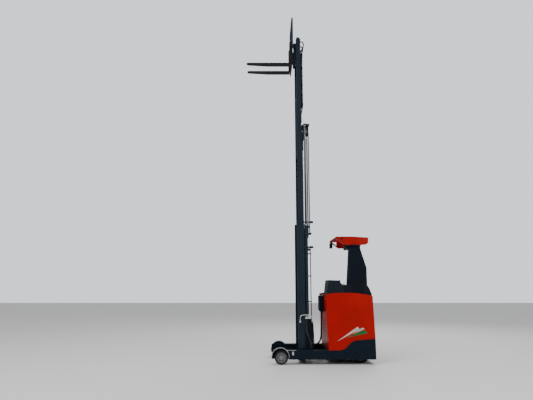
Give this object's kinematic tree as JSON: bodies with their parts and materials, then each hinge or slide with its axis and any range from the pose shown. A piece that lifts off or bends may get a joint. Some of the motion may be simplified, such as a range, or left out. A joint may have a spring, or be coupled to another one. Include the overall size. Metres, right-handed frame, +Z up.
{
  "type": "stand-up reach truck",
  "caption": "Stand-up reach truck with straddle legs, a moving three-stage mast, tilting forks, a rear operator space and a one-sided overhead guard.",
  "frame": {"origin": "on the floor, below the middle of the outer box", "axes": "+X forward along the forks, +Y to the left, +Z up"},
  "size_m": [2.267, 1.096, 6.555],
  "materials": {
    "red_paint": "satin",
    "navy_paint": "satin",
    "mast_paint": "satin",
    "fork_steel": "matte",
    "machined_steel": "brushed",
    "chrome_rod": "polished",
    "wheel_grey": "satin",
    "tyre": "matte",
    "rubber": "matte",
    "dark_plastic": "matte",
    "hood_plastic": "matte",
    "pad_vinyl": "matte",
    "screen": "gloss",
    "cast_iron": "rough",
    "lamp_body": "gloss"
  },
  "bodies": {
    "chassis": {"chassis_frame": "navy_paint", "chassis_skirt": "navy_paint", "straddle_leg_left": "navy_paint", "straddle_leg_right": "navy_paint", "load_axle_left": "machined_steel", "load_axle_right": "machined_steel", "side_panel_left": "red_paint", "side_panel_right": "red_paint", "front_bulkhead": "red_paint", "battery_block": "dark_plastic", "operator_wall": "navy_paint", "drive_bay_cover": "navy_paint", "console_cowl": "dark_plastic", "front_hood": "hood_plastic", "operator_floor": "rubber", "foot_pedals": "rubber", "knee_pad": "pad_vinyl", "lean_pad": "pad_vinyl", "control_lever": "dark_plastic", "display_panel": "screen", "guard_pillar": "navy_paint", "overhead_guard": "red_paint", "guard_lamp": "lamp_body", "hose_box": "dark_plastic", "drive_mount": "navy_paint", "reach_cylinder": "mast_paint"},
    "load_wheel_left": {"load_tyre_left": "tyre", "load_hub_left": "wheel_grey"},
    "load_wheel_right": {"load_tyre_right": "tyre", "load_hub_right": "wheel_grey"},
    "drive_unit": {"drive_gearcase": "cast_iron", "drive_motor": "cast_iron"},
    "drive_wheel": {"drive_tyre": "tyre", "drive_hub": "wheel_grey"},
    "castor_swivel": {"castor_fork": "navy_paint"},
    "castor_wheel_pair": {"castor_wheels": "tyre"},
    "steering": {"steering_wheel": "dark_plastic"},
    "reach_carriage": {"mast_carriage": "mast_paint", "reach_rod": "chrome_rod", "reach_hose": "rubber", "outer_mast": "mast_paint", "lift_cylinders": "mast_paint", "mast_pipes": "machined_steel", "mast_lines_rear": "rubber"},
    "middle_stage": {"middle_mast": "mast_paint", "lift_rods": "chrome_rod", "mast_sheaves": "cast_iron", "mast_lines_front": "rubber"},
    "inner_stage": {"inner_mast": "mast_paint", "free_lift_cylinder": "mast_paint", "top_hoses": "rubber", "carriage_chains_rear": "machined_steel"},
    "free_lift": {"free_lift_head": "chrome_rod", "carriage_chains_front": "machined_steel"},
    "fork_carriage": {"lift_carriage": "mast_paint"},
    "tilting_forks": {"fork_frame": "fork_steel", "load_backrest": "mast_paint", "forks": "fork_steel"}
  },
  "joints": [
    {"name": "reach", "type": "slide", "parent": "chassis", "child": "reach_carriage", "axis": [1, 0, 0], "range_m": [-0.17, 0.38], "deforming": ["reach_hose"]},
    {"name": "mast_lift", "type": "slide", "parent": "reach_carriage", "child": "middle_stage", "axis": [0, 0, 1], "range_m": [-1.822, 0], "deforming": ["mast_lines_rear"]},
    {"name": "inner_lift", "type": "slide", "parent": "middle_stage", "child": "inner_stage", "axis": [0, 0, 1], "range_m": [-1.822, 0], "deforming": ["mast_lines_front"]},
    {"name": "free_lift", "type": "slide", "parent": "inner_stage", "child": "free_lift", "axis": [0, 0, 1], "range_m": [-0.963, 0], "deforming": ["carriage_chains_rear"]},
    {"name": "carriage_lift", "type": "slide", "parent": "free_lift", "child": "fork_carriage", "axis": [0, 0, 1], "range_m": [-0.963, 0], "deforming": ["carriage_chains_front"]},
    {"name": "fork_tilt", "type": "hinge", "parent": "fork_carriage", "child": "tilting_forks", "pos_m": [0.2225, 0, 6.045], "axis": [0, 1, 0], "range_deg": [-3, 3]},
    {"name": "load_wheel_left_spin", "type": "hinge", "parent": "chassis", "child": "load_wheel_left", "pos_m": [0.4865, 0.503, 0.116], "axis": [0, 1, 0], "continuous": true},
    {"name": "load_wheel_right_spin", "type": "hinge", "parent": "chassis", "child": "load_wheel_right", "pos_m": [0.4865, -0.503, 0.116], "axis": [0, 1, 0], "continuous": true},
    {"name": "drive_steer", "type": "hinge", "parent": "chassis", "child": "drive_unit", "pos_m": [-0.9035, 0.285, 0.395], "axis": [0, 0, 1], "range_deg": [-90, 90]},
    {"name": "drive_wheel_spin", "type": "hinge", "parent": "drive_unit", "child": "drive_wheel", "pos_m": [-0.9035, 0.285, 0.165], "axis": [0, 1, 0], "continuous": true},
    {"name": "castor_swivel_turn", "type": "hinge", "parent": "chassis", "child": "castor_swivel", "pos_m": [-0.8435, -0.31, 0.205], "axis": [0, 0, 1], "continuous": true},
    {"name": "castor_wheel_spin", "type": "hinge", "parent": "castor_swivel", "child": "castor_wheel_pair", "pos_m": [-0.8885, -0.31, 0.075], "axis": [0, 1, 0], "continuous": true},
    {"name": "steering_turn", "type": "hinge", "parent": "chassis", "child": "steering", "pos_m": [-0.8935, 0.235, 1.38], "axis": [0, 0, 1], "range_deg": [-180, 180]}
  ],
  "couplings": [
    {"joint": "inner_lift", "follows": "mast_lift", "ratio": 1},
    {"joint": "carriage_lift", "follows": "free_lift", "ratio": 1},
    {"joint": "steering_turn", "follows": "drive_steer", "ratio": 2}
  ]
}
